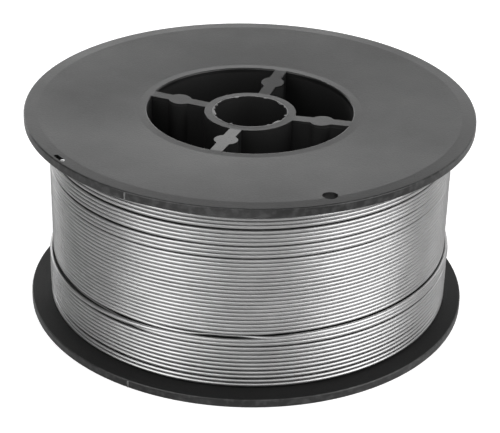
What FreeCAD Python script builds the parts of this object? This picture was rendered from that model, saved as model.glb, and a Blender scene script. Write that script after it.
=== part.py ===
"""A small spool of flux-cored welding wire, in millimetres.

The spool is one plastic moulding: a hollow barrel with a flange at each end, and a bore tube held
on the axis by four ribs. The wire is wound on the barrel between the flanges. The axis is Z, the
lower rim stands on z = 0, and the ribs lie on X and Y.
"""

import FreeCAD, Part
import math
import os

from FreeCAD import Vector

# spool
RIM_R = 50.0            # outside radius of both flanges
HUB_WIDTH = 45.0        # between the outer faces of the flanges, at the barrel
SPREAD = 0.9            # how far the wound wire has pushed each rim outwards
LAND = 3.0              # flat band around the rim, which the spool lies on
FLANGE_T = 2.0
RIM_ROUND = 0.3
BARREL_R = 25.0         # the wire is wound on this radius
BARREL_WALL = 2.0
BORE_R = 8.25
TUBE_WALL = 1.95
TUBE_RECESS = 0.7       # the bore tube ends this far inside the flange's face
RIB_T = 2.7
RIB_COUNT = 4
POST_R = 2.6            # round posts halfway along the ribs
POST_AT = 16.6
POST_ROUND = 0.6        # where a post meets its rib
ROOT = 1.0              # how far a rib runs into the wall it joins

# where the wire's ends are held in the upper flange
ANCHOR_R = 1.6
ANCHOR_AT = 46.2
ANCHOR_DEG = -51.8
SLOT_W = 1.0            # across, along a radius
SLOT_L = 3.0
SLOT_EDGE = 0.7         # left between the slot and the rim
SLOT_DEG = -126.0

# wire
WIRE_D = 0.9
COIL_R = 45.0           # outside radius of the last whole layer
STEP_Z = -8.8           # the part layer outside it ends here, from the middle of the spool
STEP = 0.8
END_GAP = 0.05          # between the winding and each flange

HALF = HUB_WIDTH / 2.0 + SPREAD
HOLLOW_R = BARREL_R - BARREL_WALL
TUBE_R = BORE_R + TUBE_WALL
LAND_R = RIM_R - LAND


def turned(points):
    """Solid of revolution about Z from (radius, z) points."""
    outline = [Vector(r, 0, z) for r, z in points]
    face = Part.Face(Part.makePolygon(outline + outline[:1]))
    return face.revolve(Vector(0, 0, 0), Vector(0, 0, 1), 360)


def outer_face_z(radius):
    """Height of the flange's outer face above the middle of the spool."""
    if radius <= BARREL_R:
        return HUB_WIDTH / 2.0
    if radius >= LAND_R:
        return HALF
    return HUB_WIDTH / 2.0 + SPREAD * (radius - BARREL_R) / (LAND_R - BARREL_R)


def inner_face_z(radius):
    return outer_face_z(radius) - FLANGE_T


def shell():
    """Barrel and both flanges, with the outer edges rounded."""
    upper = [
        (HOLLOW_R, outer_face_z(HOLLOW_R)),
        (BARREL_R, outer_face_z(BARREL_R)),
        (LAND_R, HALF),
        (RIM_R, HALF),
        (RIM_R, HALF - FLANGE_T),
        (LAND_R, HALF - FLANGE_T),
        (BARREL_R, inner_face_z(BARREL_R)),
    ]
    lower = [(r, -z) for r, z in reversed(upper)]
    body = turned(upper + lower)
    edges = [edge for edge in body.Edges if is_outer_edge(edge)]
    return body.makeFillet(RIM_ROUND, edges)


def is_outer_edge(edge):
    """True for the circles at the rims' edges and at the mouths of the barrel."""
    if not isinstance(edge.Curve, Part.Circle):
        return False
    if abs(edge.Curve.Radius - RIM_R) < 0.01:
        return True
    mouth = abs(edge.Curve.Radius - HOLLOW_R) < 0.01
    return mouth and abs(abs(edge.Curve.Center.z) - HUB_WIDTH / 2.0) < 0.01


def tube():
    top = HUB_WIDTH / 2.0 - TUBE_RECESS
    return turned([(BORE_R, -top), (TUBE_R, -top), (TUBE_R, top), (BORE_R, top)])


def rib_top_z(radius):
    """A rib is level with the flange at the barrel and falls to the end of the tube."""
    return HUB_WIDTH / 2.0 - TUBE_RECESS * (HOLLOW_R - radius) / (HOLLOW_R - TUBE_R)


def prism(upper, thickness):
    """Upright slab over the X axis, from half of its (radius, z) outline."""
    corners = upper + [(r, -z) for r, z in reversed(upper)]
    outline = [Vector(r, -thickness / 2.0, z) for r, z in corners]
    face = Part.Face(Part.makePolygon(outline + outline[:1]))
    return face.extrude(Vector(0, thickness, 0))


def rib(angle):
    """One rib from the tube to the barrel, with its round post."""
    upper = [
        (TUBE_R - ROOT, rib_top_z(TUBE_R)),
        (TUBE_R, rib_top_z(TUBE_R)),
        (HOLLOW_R, rib_top_z(HOLLOW_R)),
        (HOLLOW_R + ROOT, rib_top_z(HOLLOW_R)),
    ]
    wall = prism(upper, RIB_T)
    top = rib_top_z(HOLLOW_R)
    post = Part.makeCylinder(POST_R, 2.0 * top, Vector(POST_AT, 0, -top))
    post = post.common(prism(upper, 2.0 * POST_R))
    piece = wall.fuse(post).removeSplitter()
    corners = [edge for edge in piece.Edges if is_post_corner(edge)]
    piece = piece.makeFillet(POST_ROUND, corners)
    piece.rotate(Vector(0, 0, 0), Vector(0, 0, 1), angle)
    return piece


def is_post_corner(edge):
    """True for the upright edges where a rib's side meets its post."""
    ends = [vertex.Point for vertex in edge.Vertexes]
    if len(ends) < 2 or abs(ends[0].x - ends[1].x) > 0.01:
        return False
    upright = abs(ends[0].z - ends[1].z) > HUB_WIDTH / 2.0
    return upright and abs(ends[0].x - POST_AT) < POST_R


def anchor_hole():
    place = Vector(ANCHOR_AT, 0, 0)
    cutter = Part.makeCylinder(ANCHOR_R, 2.0 * HALF, place)
    cutter.rotate(Vector(0, 0, 0), Vector(0, 0, 1), ANCHOR_DEG)
    return cutter


def wire_slot():
    """A round-ended slot that follows the rim just inside it, for the wire's outer end."""
    end_r = SLOT_W / 2.0
    middle = RIM_R - SLOT_EDGE - end_r
    reach = (SLOT_L - SLOT_W) / 2.0
    cutter = Part.makeBox(SLOT_W, 2.0 * reach, 2.0 * HALF, Vector(middle - end_r, -reach, 0))
    for side in (-reach, reach):
        cutter = cutter.fuse(Part.makeCylinder(end_r, 2.0 * HALF, Vector(middle, side, 0)))
    cutter.rotate(Vector(0, 0, 0), Vector(0, 0, 1), SLOT_DEG)
    return cutter


def spool():
    ribs = [rib(index * 360.0 / RIB_COUNT) for index in range(RIB_COUNT)]
    body = shell().fuse([tube()] + ribs)
    body = body.cut([anchor_hole(), wire_slot()])
    return body.removeSplitter()


def winding():
    """All the turns as one solid, with the part layer outside the last whole one."""
    part_r = COIL_R + STEP
    points = [
        (BARREL_R, -inner_face_z(BARREL_R) + END_GAP),
        (part_r, -inner_face_z(part_r) + END_GAP),
        (part_r, STEP_Z - WIRE_D / 2.0),
        (COIL_R, STEP_Z),
        (COIL_R, inner_face_z(COIL_R) - END_GAP),
        (BARREL_R, inner_face_z(BARREL_R) - END_GAP),
    ]
    return turned(points)


def save(shape, name):
    """Stand the piece on z = 0 and write it."""
    shape.translate(Vector(0, 0, HALF))
    solid = shape.Solids[0]
    solid.exportStep("parts/" + name + ".step")


os.makedirs("parts", exist_ok=True)
save(spool(), "spool")
save(winding(), "wire_winding")
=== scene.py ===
"""A small spool of flux-cored welding wire, dressed around its CAD frame.

The plastic spool is the CAD node. The winding's node is replaced by its real strands. Lengths
below are in millimetres, and "seen" angles are counted from the camera's right, in degrees.
"""

import math

import bpy
import numpy as np
from mathutils import Matrix, Vector


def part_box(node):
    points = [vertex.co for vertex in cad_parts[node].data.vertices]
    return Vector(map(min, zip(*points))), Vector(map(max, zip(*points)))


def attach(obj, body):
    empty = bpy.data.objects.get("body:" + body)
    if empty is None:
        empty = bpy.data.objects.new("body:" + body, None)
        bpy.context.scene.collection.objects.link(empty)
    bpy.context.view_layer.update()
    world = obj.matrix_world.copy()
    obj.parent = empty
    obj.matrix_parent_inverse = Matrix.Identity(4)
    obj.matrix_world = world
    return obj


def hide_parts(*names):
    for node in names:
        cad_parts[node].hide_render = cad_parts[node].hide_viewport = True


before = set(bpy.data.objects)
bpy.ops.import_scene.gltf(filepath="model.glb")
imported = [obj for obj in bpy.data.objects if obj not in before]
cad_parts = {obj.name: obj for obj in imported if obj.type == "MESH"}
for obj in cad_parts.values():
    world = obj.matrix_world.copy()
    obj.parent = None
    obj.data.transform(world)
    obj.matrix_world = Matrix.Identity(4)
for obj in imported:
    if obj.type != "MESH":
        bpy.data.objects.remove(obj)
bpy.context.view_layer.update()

MM = 0.001
SEEN_TO_ROW = 17.6          # the ribs stand this far round from the camera's axes

# spool, whose overall size is the frame's
RIM_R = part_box("spool")[1][0] / MM
TOP_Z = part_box("spool")[1][2] / MM
RIM_T = 2.0
BARREL_R = 25.0
BORE_R = 8.25
TUBE_IN = 1.6               # the bore tube ends this far inside both ends
TUBE_TOP = TOP_Z - TUBE_IN

# wire
WIRE_R = 0.45
WHOLE_R = 44.55             # radius of the strand's centre in the last whole layer
PART_R = 45.35              # the same in the part layer outside it
FRONT = -85.0               # seen angle at which the heights below are given
WHOLE_Z = 14.97             # lowest strand of the whole layer that shows
WHOLE_PITCH = 0.9035
WHOLE_FIRST = -1.55
WHOLE_LAST = 31.77
PART_Z = 2.74
PART_PITCH = 0.974
PART_FIRST = -0.35
PART_LAST = 10.45
LOOSE_TURNS = {19.5: 0.17, 22.5: 0.13, 26.5: 0.29}      # turns from the lowest, and their gaps
LEFT_GAPS = {22.5: 0.30, 26.5: 0.12}                    # more room on the camera's left only
PART_LOOSE = {1.5: 0.11, 3.5: 0.07, 9.4: 0.07}          # the same in the part layer
OFF_AXIS = 0.3              # the winding leans out this far on the camera's right
SLOPE = 0.35                # and its turns stand this much higher there
LIFT = 0.35                 # of the turns over the end of the part layer
CROSS_Z = 12.6
CROSS_FIRST = -156.0        # seen angles of the crossing turn's ends
CROSS_LAST = 150.0
CROSS_START_R = 43.9
CROSS_END_R = 42.3
CROSS_RISE = 0.25           # as it comes up through the part layer
CROSS_RISE_FRONT = 0.3      # and again along the front
CROSS_RISE_BACK = 0.35      # and again as it sinks
SEAT_Z = 2.56               # lowest that a turn lies on the lower flange
START_DEPTH = 1.3           # the part layer's first turn comes up from this deep
START_TURNS = 0.09
PART_LEFT_GAP = 0.25        # extra room over the lowest turns on the camera's left
LAST_RISE = 0.85            # of the part layer's last turn, on the left
LAST_RISE_FRONT = 0.25      # and again at the front
LAST_PROUD = 0.12
STEP_SINK = 0.7             # the whole layer's lowest turn dips this deep at the step
STEP_SAG = 0.25
STEP_CLIMB = 0.45           # then rides up over the part layer
JOIN_RISE = 0.15            # where the whole layer starts behind
SEGMENTS = 180              # of wire in one turn
SIDES = 10

# core under the outer strands
CORE_R = 43.6
CORE_PART_R = 44.6
GAP_R = 41.5                # the gap between the part layer and the whole one goes this deep
GAP_LOW = 12.5
GAP_HIGH = 14.0
CORE_LOW = 2.15
CORE_HIGH = TOP_Z - CORE_LOW

# marks of moulding and wear, and painted shade and light
PARTING_SEEN = -119.4       # where the mould's halves met, and opposite
RIDGE_R = 0.19
RIDGE_INSET = 0.25          # from the rim's corners
RIDGE_PROUD = 0.03
RIDGE_WAVE = 0.04
FIN_REACH = 0.16            # scale of the ragged fin in the bore's mouth
PALE_RING_END = 34.0              # the paler colour round the barrel ends here
PALE_RING_LIFT = 0.007               # added to the colour next to the barrel
RIM_WEAR_AND_LIGHT = 0.012            # added to the colour of the rims' edges, for wear and as painted light
SCUFF = 0.025
HUB_SHADE = 0.12            # share of the colour left inside the hub, as painted shade
GROOVE_SHADE = 0.1          # and between the flanges, also painted shade

# wire's free end
SLOT_SEEN = -142.5          # it stands at the front end of the slot in the upper flange
SLOT_R = 48.8
TIP = 0.05                  # how far it stands out of the flange
BEND_R = 0.7


def seen_point(degrees, radius, height, off_axis=OFF_AXIS):
    """Row-frame points, in millimetres, from seen angles."""
    turn = np.radians(degrees + SEEN_TO_ROW)
    shift = math.radians(SEEN_TO_ROW)
    x = radius * np.cos(turn) + off_axis * math.cos(shift)
    y = radius * np.sin(turn) + off_axis * math.sin(shift)
    return np.stack([x, y, height], axis=-1)


def smooth(value, start, end):
    """Rises from 0 to 1 between start and end."""
    t = np.clip((value - start) / (end - start), 0.0, 1.0)
    return t * t * (3.0 - 2.0 * t)


def between(value, start, full, fade, end):
    """Rises from 0 to 1 between start and full, and falls back between fade and end."""
    return smooth(value, start, full) * (1.0 - smooth(value, fade, end))


def wander(turns, seed, size):
    """A slow random drift along the wire."""
    rng = np.random.default_rng(seed)
    total = np.zeros_like(turns)
    for cycles in (0.37, 0.9, 1.7, 3.3):
        total += np.sin(2.0 * math.pi * (cycles * turns + rng.random()))
    return size * total / 4.0


def new_object(name, vertices, faces, material):
    mesh = bpy.data.meshes.new(name)
    mesh.from_pydata([tuple(v) for v in np.asarray(vertices) * MM], [], faces)
    mesh.materials.append(material)
    mesh.update()
    mesh.polygons.foreach_set("use_smooth", [True] * len(mesh.polygons))
    thing = bpy.data.objects.new(name, mesh)
    bpy.context.scene.collection.objects.link(thing)
    return thing


def tube(name, path, material, radius=WIRE_R, sides=SIDES):
    """A closed round wire along a path of points."""
    path = np.asarray(path)
    tangent = np.gradient(path, axis=0)
    tangent /= np.linalg.norm(tangent, axis=1)[:, None]
    normal = np.zeros_like(path)
    guess = np.array([path[0][0], path[0][1], 0.0])
    for i, along in enumerate(tangent):
        guess = guess - along * guess.dot(along)
        guess = guess / np.linalg.norm(guess)
        normal[i] = guess
    side = np.cross(tangent, normal)
    turn = np.arange(sides) * 2.0 * math.pi / sides
    ring = normal[:, None, :] * np.cos(turn)[None, :, None]
    ring = ring + side[:, None, :] * np.sin(turn)[None, :, None]
    points = (path[:, None, :] + radius * ring).reshape(-1, 3)
    count = len(path)
    faces = []
    for i in range(count - 1):
        for j in range(sides):
            k = (j + 1) % sides
            a, b = i * sides, (i + 1) * sides
            faces.append((a + j, a + k, b + k, b + j))
    faces.append(tuple(range(sides - 1, -1, -1)))
    faces.append(tuple(range((count - 1) * sides, count * sides)))
    return new_object(name, points, faces, material)


def lathe(name, outline, material, steps=160):
    """A closed ring turned from (radius, height) points."""
    points = []
    for i in range(steps):
        turn = 2.0 * math.pi * i / steps
        for radius, height in outline:
            points.append((radius * math.cos(turn), radius * math.sin(turn), height))
    return new_object(name, points, ring_faces(steps, len(outline)), material)


def ring_faces(steps, count):
    """Faces of a closed ring of steps outlines, each of count points."""
    faces = []
    for i in range(steps):
        for j in range(count):
            a, b = i * count, ((i + 1) % steps) * count
            k = (j + 1) % count
            faces.append((a + j, b + j, b + k, a + k))
    return faces


def loosened(turns, gaps):
    """Extra height from the gaps below each turn."""
    extra = np.zeros_like(turns)
    for place, gap in gaps.items():
        extra += gap * smooth(turns, place - 0.3, place + 0.3)
    return extra


def on_left(seen):
    """1 on the camera's left, falling to 0 at the front and behind."""
    round_once = (seen + 180.0) % 360.0 - 180.0
    return 1.0 - smooth(round_once, -135.0, -98.0) + smooth(round_once, 100.0, 160.0)


def parted(seen, turns):
    """On the camera's left the turns below each gap close up, and the gap widens."""
    drop = np.zeros_like(turns)
    for place, gap in LEFT_GAPS.items():
        below = 1.0 - smooth(turns, place - 0.3, place + 0.3)
        drop += gap * np.clip(turns / place, 0.0, 1.0) * below
    return drop * on_left(seen)


def leaned(seen, height):
    """Turns slope up to the camera's right, except where the flanges hold them level."""
    share = np.clip(np.sin(math.pi * (height - CORE_LOW) / (CORE_HIGH - CORE_LOW)), 0.0, 1.0)
    return height + SLOPE * share * np.cos(np.radians(seen))


def fall_back(seen):
    """Falls from 1 to 0 where the turns on the part layer drop again, behind."""
    return 1.0 - smooth(seen, 60.0, 110.0)


def lifted(seen, turns):
    """The end of the part layer pushes up the turns above it on the camera's right."""
    round_once = (seen + 180.0) % 360.0 - 180.0
    share = smooth(round_once, -96.0, -60.0) * fall_back(round_once)
    return LIFT * share * np.clip(1.0 - turns / WHOLE_LAST, 0.0, 1.0) * (turns > -0.3)


def whole_layer():
    """The last whole layer. Its lowest turn dips, and then rides up over the part layer."""
    count = int((WHOLE_LAST - WHOLE_FIRST) * SEGMENTS)
    turns = np.linspace(WHOLE_FIRST, WHOLE_LAST, count)
    seen = FRONT + 360.0 * turns
    height = WHOLE_Z + WHOLE_PITCH * turns + loosened(turns, LOOSE_TURNS)
    height += wander(turns, 4, 0.015)
    radius = WHOLE_R + wander(turns, 3, 0.035)
    lowest = seen + 360.0
    dip = between(lowest, -106.0, -99.0, -92.0, -82.0)
    up = smooth(lowest, -94.0, -81.0) * fall_back(lowest)
    radius += (PART_R - WHOLE_R) * up - STEP_SINK * dip
    height += STEP_CLIMB * smooth(lowest, -92.0, -66.0) * fall_back(lowest)
    height -= STEP_SAG * between(lowest, -128.0, -108.0, -91.0, -78.0)
    height += lifted(seen, turns) - parted(seen, turns)
    height += JOIN_RISE * (1.0 - smooth(turns, -1.2, -0.9))
    return seen, radius, leaned(seen, height)


def part_layer():
    """Its last turn rises over one that comes up below it, and joins the whole layer behind."""
    count = int((PART_LAST - PART_FIRST) * SEGMENTS)
    turns = np.linspace(PART_FIRST, PART_LAST, count)
    seen = FRONT + 360.0 * turns
    height = PART_Z + PART_PITCH * turns + loosened(turns, PART_LOOSE) + wander(turns, 6, 0.02)
    height = np.maximum(height, SEAT_Z)
    share = on_left(seen) * smooth(turns, 1.2, 1.8)
    height += PART_LEFT_GAP * share * (1.0 - turns / PART_LAST)
    radius = PART_R + wander(turns, 5, 0.03)
    radius -= START_DEPTH * (1.0 - smooth(turns, PART_FIRST, PART_FIRST + START_TURNS))
    last = seen - 360.0 * math.floor(PART_LAST)
    height += LAST_RISE * smooth(last, -152.0, -104.0)
    height += LAST_RISE_FRONT * smooth(last, -104.0, -60.0)
    radius += LAST_PROUD * smooth(last, -140.0, -115.0)
    drop = smooth(last, 10.0, 77.0)
    radius += (WHOLE_R - radius) * drop
    height += (WHOLE_Z + WHOLE_PITCH * WHOLE_FIRST + JOIN_RISE - height) * drop
    return seen, radius, leaned(seen, height)


def crossing_turn():
    """One turn that comes up through the part layer and sinks into the gap above it, behind."""
    seen = np.linspace(CROSS_FIRST, CROSS_LAST, 400)
    up = smooth(seen, -136.0, -112.0)
    down = smooth(seen, 40.0, 120.0)
    radius = CROSS_START_R + (PART_R - CROSS_START_R) * up - (PART_R - CROSS_END_R) * down
    height = CROSS_Z + CROSS_RISE * smooth(seen, -115.0, -70.0)
    height += CROSS_RISE_FRONT * smooth(seen, -80.0, 0.0) + CROSS_RISE_BACK * down
    return seen, radius, leaned(seen, height)


def free_end(seen, radius, height):
    """The last turn leaves the winding under the flange and comes up through the flange's slot."""
    start = seen_point(seen[-3:], radius[-3:], height[-3:])
    out = np.linspace(0.0, 1.0, 40)[1:]
    sweep = 360.0 + SLOT_SEEN - seen[-1] % 360.0
    angle = seen[-1] + out * sweep
    reach = radius[-1] + (SLOT_R - radius[-1]) * smooth(out, 0.0, 1.0)
    level = height[-1] + 0.0 * out
    under = seen_point(angle, reach, level, OFF_AXIS * (1.0 - out))
    corner = under[-1]
    along = under[-1] - under[-2]
    along /= np.linalg.norm(along)
    bend = []
    for turn in np.linspace(0.0, math.pi / 2.0, 9)[1:]:
        climb = np.array([0, 0, 1 - math.cos(turn)])
        bend.append(corner + BEND_R * (math.sin(turn) * along + climb))
    last = bend[-1]
    steps = np.linspace(0.0, TOP_Z + TIP - last[2], 6)[1:]
    rise = [last + np.array([0, 0, step]) for step in steps]
    return np.concatenate([start, under, np.array(bend), np.array(rise)])


# materials

def material(name):
    made = bpy.data.materials.new(name)
    made.use_nodes = True
    nodes = made.node_tree.nodes
    return made, nodes, made.node_tree.links, nodes["Principled BSDF"]


def noise(nodes, links, place, scale, detail=4.0):
    """A noise texture over object coordinates, with its scale in cycles per metre."""
    texture = nodes.new("ShaderNodeTexNoise")
    texture.inputs["Scale"].default_value = scale
    texture.inputs["Detail"].default_value = detail
    links.new(place, texture.inputs["Vector"])
    return texture.outputs["Fac"]


def spread(nodes, links, value, start, end, low, high):
    """Maps start to end onto low to high, held at the ends."""
    made = nodes.new("ShaderNodeMapRange")
    made.inputs["From Min"].default_value = start
    made.inputs["From Max"].default_value = end
    made.inputs["To Min"].default_value = low
    made.inputs["To Max"].default_value = high
    links.new(value, made.inputs["Value"])
    return made.outputs["Result"]


def ramp(nodes, links, value, low, high):
    """Spreads 0.3 to 0.7 of a noise over low to high."""
    return spread(nodes, links, value, 0.3, 0.7, low, high)


def combine(nodes, links, operation, first, second):
    made = nodes.new("ShaderNodeMath")
    made.operation = operation
    links.new(first, made.inputs[0])
    links.new(second, made.inputs[1])
    return made.outputs["Value"]


def plus(nodes, links, first, second):
    return combine(nodes, links, "ADD", first, second)


def times(nodes, links, first, second):
    return combine(nodes, links, "MULTIPLY", first, second)


def grey(nodes, links, value):
    mix = nodes.new("ShaderNodeCombineColor")
    for channel in ("Red", "Green", "Blue"):
        links.new(value, mix.inputs[channel])
    return mix.outputs["Color"]


def bump(nodes, links, value, distance, strength=1.0):
    made = nodes.new("ShaderNodeBump")
    made.inputs["Distance"].default_value = distance
    made.inputs["Strength"].default_value = strength
    links.new(value, made.inputs["Height"])
    return made.outputs["Normal"]


def from_axis(nodes, links, place):
    """Distance from the spool's axis, in metres."""
    flat = nodes.new("ShaderNodeVectorMath")
    flat.operation = "MULTIPLY"
    flat.inputs[1].default_value = (1.0, 1.0, 0.0)
    links.new(place, flat.inputs[0])
    length = nodes.new("ShaderNodeVectorMath")
    length.operation = "LENGTH"
    links.new(flat.outputs["Vector"], length.inputs[0])
    return length.outputs["Value"]


def largest(nodes, links, first, second):
    return combine(nodes, links, "MAXIMUM", first, second)


def plastic_material():
    """Dark moulded plastic with a fine grain and cloudy flow marks. It is a little paler round the
    barrel, scuffed at the rims and painted lighter there as painted light, and painted darker in
    the hub and between the flanges as painted shade."""
    made, nodes, links, shader = material("spool_plastic")
    place = nodes.new("ShaderNodeTexCoord").outputs["Object"]
    fine = noise(nodes, links, place, 2600.0)
    broad = noise(nodes, links, place, 28.0, 3.0)
    cloud = noise(nodes, links, place, 75.0, 3.0)
    away = from_axis(nodes, links, place)
    split = nodes.new("ShaderNodeSeparateXYZ")
    links.new(place, split.inputs["Vector"])
    level = split.outputs["Z"]

    def by(value, start, end, low, high):
        """A spread between two lengths in millimetres."""
        return spread(nodes, links, value, start * MM, end * MM, low, high)

    pale_ring = by(away, BARREL_R, PALE_RING_END, PALE_RING_LIFT, 0.0)
    pale = times(nodes, links, pale_ring, spread(nodes, links, broad, 0.45, 0.6, 0.0, 1.0))
    face = plus(nodes, links, ramp(nodes, links, cloud, 0.002, 0.015), pale)

    # the rims' edges are coloured lighter, partly for scuffs and wear and partly as painted light
    # from the front
    patches = noise(nodes, links, place, 700.0)
    scuff_and_light = plus(nodes, links, spread(nodes, links, patches, 0.45, 0.65, 0.0, SCUFF),
                 spread(nodes, links, broad, 0.35, 0.6, 0.0, RIM_WEAR_AND_LIGHT))
    worn_and_lit = times(nodes, links, by(away, RIM_R - 0.3, RIM_R - 0.1, 0.0, 1.0), scuff_and_light)

    # painted shade: the colour is darkened inside the hub and in the groove between the flanges
    open_air = by(away, BARREL_R - 1.5, BARREL_R - 0.5, 0.0, 1.0)
    near_top = by(level, TUBE_TOP - 1.5, TUBE_TOP - 0.3, HUB_SHADE, 1.0)
    near_foot = by(level, TUBE_IN + 0.3, TUBE_IN + 1.5, 1.0, HUB_SHADE)
    outside_hub = largest(nodes, links, open_air, largest(nodes, links, near_top, near_foot))
    below = by(level, RIM_T - 0.1, RIM_T - 0.03, 1.0, GROOVE_SHADE)
    above = by(level, TOP_Z - RIM_T, TOP_Z - RIM_T + 0.1, 0.0, 1.0)
    at_rim = by(away, RIM_R - 0.3, RIM_R - 0.15, 0.0, 1.0)
    outside_groove = largest(nodes, links, below, largest(nodes, links, above, at_rim))
    lit = times(nodes, links, outside_hub, outside_groove)

    base = plus(nodes, links, times(nodes, links, face, lit), worn_and_lit)
    links.new(grey(nodes, links, base), shader.inputs["Base Color"])
    soft = plus(nodes, links, ramp(nodes, links, broad, 0.27, 0.41),
                ramp(nodes, links, fine, 0.0, 0.06))
    soft = plus(nodes, links, soft, spread(nodes, links, lit, HUB_SHADE, 1.0, 0.35, 0.0))
    links.new(soft, shader.inputs["Roughness"])
    shader.inputs["Specular IOR Level"].default_value = 0.4
    links.new(bump(nodes, links, fine, 0.00002), shader.inputs["Normal"])
    return made


def flash_material():
    """Thin fins of the same plastic, coloured paler as painted highlight."""
    made, nodes, links, shader = material("plastic_flash")
    place = nodes.new("ShaderNodeTexCoord").outputs["Object"]
    mottled = noise(nodes, links, place, 420.0)
    # painted highlight: the fins are coloured far paler than the spool's plastic
    base = ramp(nodes, links, mottled, 0.04, 0.22)
    links.new(grey(nodes, links, base), shader.inputs["Base Color"])
    shader.inputs["Roughness"].default_value = 0.5
    links.new(bump(nodes, links, mottled, 0.00002), shader.inputs["Normal"])
    return made


def wire_material():
    """Bright drawn steel, slightly grainy."""
    made, nodes, links, shader = material("wire_steel")
    place = nodes.new("ShaderNodeTexCoord").outputs["Object"]
    fine = noise(nodes, links, place, 1400.0)
    broad = noise(nodes, links, place, 160.0, 3.0)
    shader.inputs["Metallic"].default_value = 1.0
    base = ramp(nodes, links, broad, 0.40, 0.46)
    links.new(grey(nodes, links, base), shader.inputs["Base Color"])
    links.new(ramp(nodes, links, fine, 0.33, 0.39), shader.inputs["Roughness"])
    links.new(bump(nodes, links, fine, 0.000002), shader.inputs["Normal"])
    return made


def shade_painted_wire_material():
    """Turns deep under the outer ones, coloured near-black steel as painted shade."""
    made, nodes, links, shader = material("wire_painted_shade")
    place = nodes.new("ShaderNodeTexCoord").outputs["Object"]
    shader.inputs["Metallic"].default_value = 1.0
    shader.inputs["Roughness"].default_value = 0.6
    # painted shade: a near-black steel colour for the turns deep in the winding
    base = ramp(nodes, links, noise(nodes, links, place, 300.0), 0.02, 0.05)
    links.new(grey(nodes, links, base), shader.inputs["Base Color"])
    return made


plastic = plastic_material()
plastic_painted_highlight = flash_material()
steel = wire_material()

# spool
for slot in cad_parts["spool"].material_slots:
    slot.material = plastic

# winding
outline = [
    (BARREL_R, CORE_LOW), (CORE_PART_R, CORE_LOW), (CORE_PART_R, GAP_LOW), (GAP_R, GAP_LOW),
    (GAP_R, GAP_HIGH), (CORE_R, GAP_HIGH), (CORE_R, CORE_HIGH), (BARREL_R, CORE_HIGH),
]
# painted shade: the core is dark steel, standing for deeper turns that lie in shade
core = lathe("winding_core", outline, shade_painted_wire_material())
seen, radius, height = whole_layer()
whole = tube("whole_layer", seen_point(seen, radius, height), steel)
end = tube("free_end", free_end(seen, radius, height), steel)
part = tube("part_layer", seen_point(*part_layer()), steel)
crossing = tube("crossing_turn", seen_point(*crossing_turn()), steel)
for piece in (core, whole, part, crossing, end):
    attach(piece, "root")
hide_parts("wire_winding")


def parting_flash():
    """Fine upright ridges on both rims where the mould's halves met."""
    pieces = []
    for seen_degrees in (PARTING_SEEN, PARTING_SEEN + 180.0):
        for foot in (0.0, TOP_Z - RIM_T):
            level = np.linspace(foot + RIDGE_INSET, foot + RIM_T - RIDGE_INSET, 12)
            reach = RIM_R + RIDGE_PROUD + RIDGE_WAVE * np.sin(7.0 * level + seen_degrees)
            path = seen_point(seen_degrees + 0.0 * level, reach, level, 0.0)
            pieces.append(tube("ridge", path, plastic_painted_highlight, RIDGE_R, 8))
    return join(pieces, "parting_flash")


def bore_flash():
    """A thin ragged fin left round the upper mouth of the bore."""
    rng = np.random.default_rng(11)
    steps = 240
    turn = np.arange(steps) * 2.0 * math.pi / steps
    fin = np.zeros(steps)
    for cycles in (2, 3, 5, 9, 14, 23, 31):
        fin += np.sin(cycles * turn + rng.random() * 2.0 * math.pi)
    inner = BORE_R - FIN_REACH * np.clip(fin, 0.0, 3.0)
    points = []
    for angle, edge in zip(turn, inner):
        section = ((BORE_R + 0.25, TUBE_TOP - 0.1), (BORE_R + 0.2, TUBE_TOP + 0.05),
                   (edge, TUBE_TOP + 0.08), (edge, TUBE_TOP - 0.02))
        for radius, level in section:
            points.append((radius * math.cos(angle), radius * math.sin(angle), level))
    return new_object("bore_flash", points, ring_faces(steps, 4), plastic_painted_highlight)


def join(pieces, name):
    """One object from several."""
    points, faces = [], []
    for piece in pieces:
        first = len(points)
        points += [vertex.co / MM for vertex in piece.data.vertices]
        faces += [tuple(first + index for index in face.vertices) for face in piece.data.polygons]
        bpy.data.objects.remove(piece)
    return new_object(name, points, faces, plastic_painted_highlight)


for piece in (parting_flash(), bore_flash()):
    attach(piece, "root")

# floor
FLOOR_HALF = 2000.0
FLOOR_DROP = 0.2            # keeps it clear of the lower rim
FLOOR_GREY = 0.7
FLOOR_GLOW = 0.75           # added to the floor where the camera sees it
FLOOR_SHINE = 0.03          # and where a glossy surface does


def ray_level(nodes, links, base, camera, glossy):
    """A strength that differs for camera rays and glossy rays."""
    path = nodes.new("ShaderNodeLightPath")
    total = None
    rays = (("Is Camera Ray", camera), ("Is Glossy Ray", glossy), ("Is Transmission Ray", glossy))
    for output, level in rays:
        step = nodes.new("ShaderNodeMath")
        step.operation = "MULTIPLY_ADD"
        step.inputs[1].default_value = level - base
        step.inputs[2].default_value = base
        links.new(path.outputs[output], step.inputs[0])
        if total is not None:
            links.new(total, step.inputs[2])
        total = step.outputs[0]
    return total


def floor_material():
    """White to the camera and in reflections, with the object's shadow kept."""
    made, nodes, links, shader = material("floor")
    shader.inputs["Base Color"].default_value = (FLOOR_GREY, FLOOR_GREY, FLOOR_GREY, 1.0)
    shader.inputs["Roughness"].default_value = 0.9
    glow = nodes.new("ShaderNodeEmission")
    glow.inputs["Color"].default_value = (1.0, 1.0, 1.0, 1.0)
    links.new(ray_level(nodes, links, 0.0, FLOOR_GLOW, FLOOR_SHINE), glow.inputs["Strength"])
    both = nodes.new("ShaderNodeAddShader")
    links.new(shader.outputs["BSDF"], both.inputs[0])
    links.new(glow.outputs["Emission"], both.inputs[1])
    links.new(both.outputs["Shader"], nodes["Material Output"].inputs["Surface"])
    return made


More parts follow.
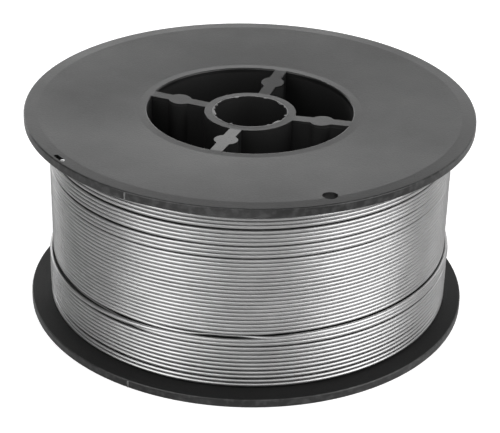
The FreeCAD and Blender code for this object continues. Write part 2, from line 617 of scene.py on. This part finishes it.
corners = [(-FLOOR_HALF, -FLOOR_HALF, 0), (FLOOR_HALF, -FLOOR_HALF, 0)]
corners += [(FLOOR_HALF, FLOOR_HALF, 0), (-FLOOR_HALF, FLOOR_HALF, 0)]
floor = new_object("floor", corners, [(0, 1, 2, 3)], floor_material())
floor.location.z = -FLOOR_DROP * MM

# camera
CAMERA_DISTANCE = 367.7
CAMERA_AIM = 22.5           # height of the point that the distance is counted from
CAMERA_RISE = 27.47
CAMERA_PAN = 0.09
CAMERA_TILT = 0.53
CAMERA_ROLL = 1.35
FOCAL_SHARE = 1603.0 / 500.0    # focal length over the picture's width


def turn_x(degrees):
    return Matrix.Rotation(math.radians(degrees), 3, "X")


def place_camera():
    data = bpy.data.cameras.new("camera")
    data.sensor_width = 36.0
    data.lens = FOCAL_SHARE * data.sensor_width
    data.clip_start = 0.01
    camera = bpy.data.objects.new("camera", data)
    bpy.context.scene.collection.objects.link(camera)
    rise = math.radians(CAMERA_RISE)
    spin = Matrix.Rotation(math.radians(SEEN_TO_ROW), 3, "Z")
    back, up = CAMERA_DISTANCE * math.cos(rise), CAMERA_DISTANCE * math.sin(rise)
    stand = Vector((0.0, -back, CAMERA_AIM + up))
    level = turn_x(90.0)
    pan = Matrix.Rotation(math.radians(-CAMERA_PAN), 3, "Y")
    tilt = turn_x(-(CAMERA_RISE + CAMERA_TILT))
    roll = Matrix.Rotation(math.radians(CAMERA_ROLL), 3, "Z")
    facing = spin @ level @ pan @ tilt @ roll
    camera.matrix_world = Matrix.Translation(spin @ stand * MM) @ facing.to_4x4()
    bpy.context.scene.camera = camera


place_camera()


# light
LAMP_AIM = Vector((0.0, 0.0, 0.023))


def softbox(name, seen_degrees, rise_degrees, distance, width, height, power):
    """An area lamp that faces the winding. Sizes are in metres, and its power in watts."""
    data = bpy.data.lights.new(name, "AREA")
    data.shape = "RECTANGLE"
    data.size = width
    data.size_y = height
    data.energy = power
    lamp = bpy.data.objects.new(name, data)
    bpy.context.scene.collection.objects.link(lamp)
    turn = math.radians(seen_degrees + SEEN_TO_ROW)
    rise = math.radians(rise_degrees)
    flat = math.cos(rise)
    stand = Vector((math.cos(turn) * flat, math.sin(turn) * flat, math.sin(rise)))
    stand = stand * distance + LAMP_AIM
    lamp.location = stand
    aim = LAMP_AIM - stand
    lamp.rotation_euler = aim.to_track_quat("-Z", "Y").to_euler()


softbox("softbox_left", -138.0, 22.0, 1.0, 0.62, 1.5, 8.6)
softbox("softbox_right", -30.0, 22.0, 1.0, 0.85, 1.2, 11.4)
softbox("softbox_side", 44.0, 25.0, 1.1, 0.7, 0.8, 2.0)
softbox("softbox_back", 104.0, 12.0, 1.2, 1.8, 0.48, 7.1)
softbox("softbox_front", -92.0, 34.0, 1.3, 0.9, 0.34, 2.2)

# world
WORLD_LIGHT = 0.08
WORLD_SEEN = 1.0            # to the camera
WORLD_SHINE = 0.2           # to a glossy surface

scene = bpy.context.scene
world = bpy.data.worlds.new("studio")
scene.world = world
world.use_nodes = True
nodes, links = world.node_tree.nodes, world.node_tree.links
backdrop = nodes["Background"]
backdrop.inputs["Color"].default_value = (1.0, 1.0, 1.0, 1.0)
strength = ray_level(nodes, links, WORLD_LIGHT, WORLD_SEEN, WORLD_SHINE)
links.new(strength, backdrop.inputs["Strength"])

scene.view_settings.view_transform = "Standard"
